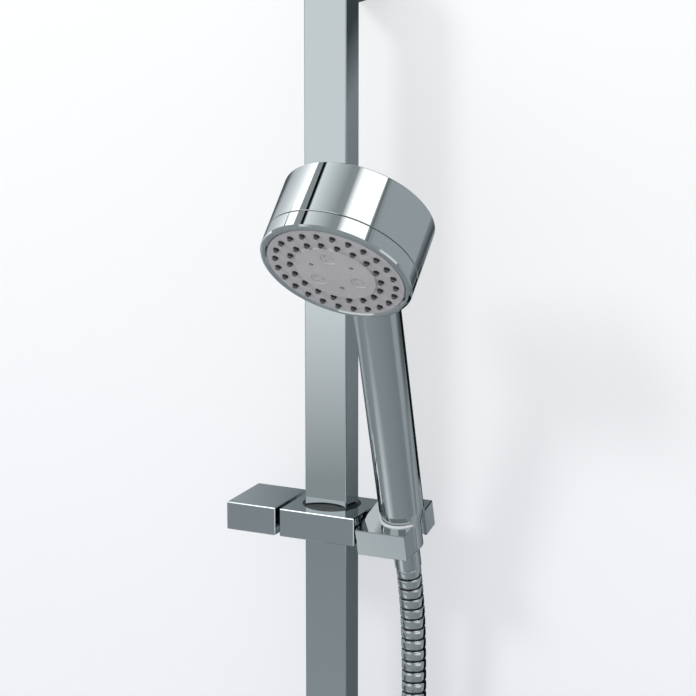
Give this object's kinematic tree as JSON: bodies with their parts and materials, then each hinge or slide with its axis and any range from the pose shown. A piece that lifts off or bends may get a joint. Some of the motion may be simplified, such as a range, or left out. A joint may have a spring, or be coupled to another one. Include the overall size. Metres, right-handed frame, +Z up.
{
  "type": "shower rail kit",
  "caption": "Rectangular riser rail on two wall brackets with a square locking slider, tilting fork holder, round hand shower with turning spray pack, and ribbed hose",
  "frame": {"origin": "on the wall face, centre of the upper fixing hole", "axes": "+X right along the wall, +Y into the wall, +Z up"},
  "size_m": [0.1676, 0.2006, 0.9573],
  "materials": {
    "chrome": "bright chrome plating on brass and steel",
    "chromed_plastic": "bright chrome plating on ABS",
    "hose_metal": "bright ribbed hose with a polymer core",
    "face_plastic": "light grey satin plastic",
    "dark_plastic": "black moulded acetal",
    "nozzle_rubber": "dark grey silicone rubber",
    "seal_rubber": "black seal rubber",
    "brass": "machined brass",
    "steel": "stainless screws",
    "wall_metal": "cast wall plate"
  },
  "bodies": {
    "rail": {"rail_tube": "chrome", "rail_top_cap": "chrome", "rail_bottom_cap": "chrome", "upper_bracket": "chrome", "lower_bracket": "chrome", "upper_wall_plate": "wall_metal", "lower_wall_plate": "wall_metal", "bracket_grub_screws": "steel", "rail_screws": "steel", "rail_nuts": "steel"},
    "slider": {"slider_body": "chrome", "slider_collar": "dark_plastic"},
    "brake_shoe": {"brake_shoe": "dark_plastic"},
    "lock_knob": {"lock_knob": "chrome", "clamp_spindle": "brass", "knob_spacer": "dark_plastic", "knob_grub_screw": "steel"},
    "holder": {"holder_fork": "chrome", "seat_liner": "face_plastic", "pivot_bolt": "steel", "pivot_spring": "steel", "pivot_washer": "dark_plastic"},
    "hose": {"hose_ferrule": "chrome", "shower_hose": "hose_metal", "hose_hank": "hose_metal", "hose_ties": "dark_plastic", "end_ferrule": "chrome"},
    "end_nut": {"end_nut": "chrome", "end_washer": "seal_rubber"},
    "handset": {"handset_body": "chromed_plastic", "handset_tail": "brass", "waterway_tube": "dark_plastic", "filter_washer": "seal_rubber", "hose_nut": "chrome", "manifold": "dark_plastic", "port_seal": "seal_rubber", "detent_ball": "steel", "detent_spring": "steel", "spray_pivot_screw": "steel"},
    "spray": {"spray_ring": "chromed_plastic", "face_plate": "face_plastic", "nozzle_mat": "nozzle_rubber", "spreader": "dark_plastic", "centre_disc": "face_plastic"}
  },
  "joints": [
    {"name": "slider_slide", "type": "slide", "parent": "rail", "child": "slider", "axis": [0, 0, 1], "range_m": [-0.283, 0.332]},
    {"name": "shoe_slide", "type": "slide", "parent": "slider", "child": "brake_shoe", "axis": [-1, 0, 0], "range_m": [0, 0.0008]},
    {"name": "knob_turn", "type": "hinge", "parent": "slider", "child": "lock_knob", "pos_m": [-0.026, -0.06285, -0.3545], "axis": [-1, 0, 0], "range_deg": [0, 90]},
    {"name": "holder_tilt", "type": "hinge", "parent": "slider", "child": "holder", "pos_m": [0.0283, -0.06285, -0.3545], "axis": [1, 0, 0], "range_deg": [-5, 30]},
    {"name": "hose_lift", "type": "slide", "parent": "holder", "child": "hose", "axis": [0, -0.2672, 0.9636], "range_m": [0, 0.03]},
    {"name": "handset_turn", "type": "hinge", "parent": "hose", "child": "handset", "pos_m": [0.053, -0.06347, -0.34627], "axis": [0, -0.2672, 0.9636], "range_deg": [-45, 90]},
    {"name": "spray_turn", "type": "hinge", "parent": "handset", "child": "spray", "pos_m": [0.053, -0.16782, -0.16038], "axis": [0, -0.7254, -0.6884], "range_deg": [0, 60]},
    {"name": "end_nut_turn", "type": "hinge", "parent": "hose", "child": "end_nut", "pos_m": [0.0705, -0.04261, -0.90776], "axis": [0, 0, 1], "continuous": true}
  ],
  "couplings": [
    {"joint": "shoe_slide", "follows": "knob_turn", "m_per_rad": 0.000477}
  ]
}
